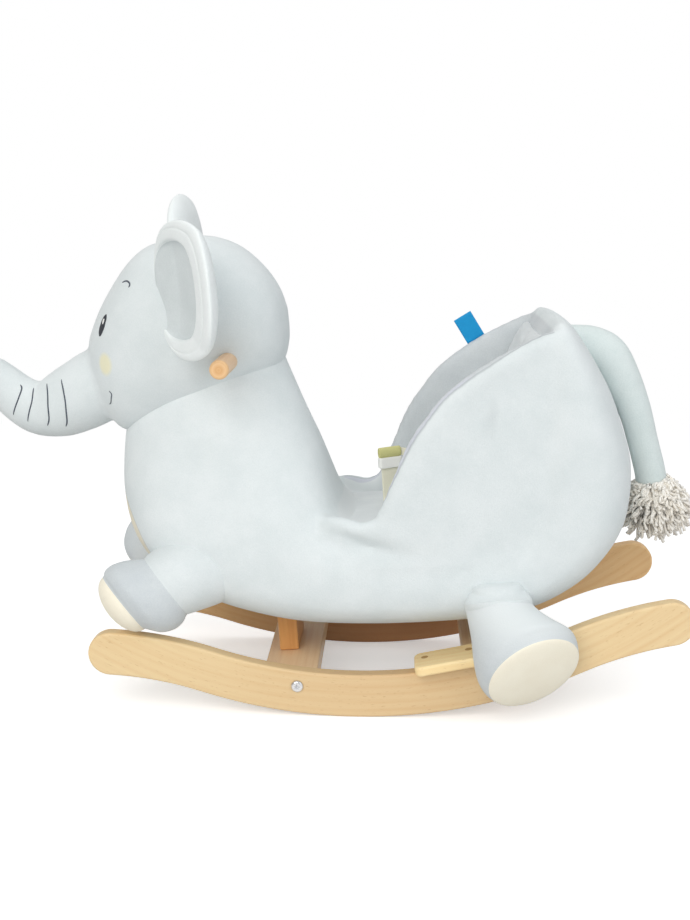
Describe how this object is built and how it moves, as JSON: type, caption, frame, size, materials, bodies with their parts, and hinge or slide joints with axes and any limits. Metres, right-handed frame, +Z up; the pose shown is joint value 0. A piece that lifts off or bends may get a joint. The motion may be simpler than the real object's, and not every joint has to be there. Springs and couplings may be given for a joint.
{
  "type": "rocking elephant",
  "caption": "Plush elephant with a bucket seat and a grab dowel, standing on a rocking frame of two bent beech rockers.",
  "frame": {"origin": "on the floor, in the middle of the bounding box's footprint", "axes": "+X from the trunk towards the tail, +Y towards the elephant's right side, +Z up"},
  "size_m": [0.8138, 0.3886, 0.5547],
  "materials": {
    "beech": "clear satin lacquer",
    "plush": "short-pile plush, pale ice blue",
    "liner": "short-pile plush, light grey",
    "paw": "short-pile plush, grey",
    "sole": "velour, cream",
    "yarn": "fluffy yarn, warm grey",
    "webbing": "woven webbing, pale lime and cream",
    "tag": "woven ribbon, bare",
    "plastic": "moulded, fine texture",
    "steel": "zinc plated"
  },
  "bodies": {
    "toy": {"rocker_left": "beech", "footrest_left": "beech", "seat_wall_left": "plush", "waist_belt_left": "webbing", "rocker_bolt_front_left": "steel", "barrel_nut_front_left": "steel", "footrest_screw_front_left": "steel", "front_leg_left": "plush", "front_paw_left": "paw", "front_sole_left": "sole", "rocker_bolt_rear_left": "steel", "barrel_nut_rear_left": "steel", "footrest_screw_rear_left": "steel", "rear_leg_left": "plush", "rear_paw_left": "paw", "rear_sole_left": "sole", "rocker_right": "beech", "footrest_right": "beech", "seat_wall_right": "plush", "waist_belt_right": "webbing", "rocker_bolt_front_right": "steel", "barrel_nut_front_right": "steel", "footrest_screw_front_right": "steel", "front_leg_right": "plush", "front_paw_right": "paw", "front_sole_right": "sole", "rocker_bolt_rear_right": "steel", "barrel_nut_rear_right": "steel", "footrest_screw_rear_right": "steel", "rear_leg_right": "plush", "rear_paw_right": "paw", "rear_sole_right": "sole", "front_stretcher": "beech", "front_post": "beech", "front_post_screw": "steel", "front_seat_screw": "steel", "rear_stretcher": "beech", "rear_post": "beech", "rear_post_screw": "steel", "rear_seat_screw": "steel", "neck_board": "beech", "handle_dowel": "beech", "back_board": "beech", "seat_board": "beech", "neck_screw": "steel", "back_screw": "steel", "chest": "plush", "belly": "plush", "rump": "plush", "head": "plush", "trunk": "plush", "seat_cushion": "liner", "back_cushion": "liner", "crotch_strap": "webbing", "side_tag": "tag"},
    "left_ear": {"ear_left": "plush"},
    "right_ear": {"ear_right": "plush"},
    "tail": {"tail": "plush", "tail_tuft": "yarn"},
    "slider": {"strap_slider": "plastic"}
  },
  "joints": [
    {"name": "left_ear_fold", "type": "hinge", "parent": "toy", "child": "left_ear", "pos_m": [-0.16377, -0.08, 0.45274], "axis": [-0.0706, 0, 0.9975], "range_deg": [-25, 12], "stiffness_Nm_per_rad": 0.05},
    {"name": "right_ear_fold", "type": "hinge", "parent": "toy", "child": "right_ear", "pos_m": [-0.18314, 0.077, 0.47141], "axis": [-0.0706, 0, 0.9975], "range_deg": [-12, 25], "stiffness_Nm_per_rad": 0.05},
    {"name": "tail_swing", "type": "hinge", "parent": "toy", "child": "tail", "pos_m": [0.25792, 0, 0.40138], "axis": [0.9975, 0, 0.0706], "range_deg": [-25, 25]},
    {"name": "slider_slide", "type": "slide", "parent": "toy", "child": "slider", "axis": [-0.0706, 0, 0.9975], "range_m": [-0.035, 0]}
  ]
}
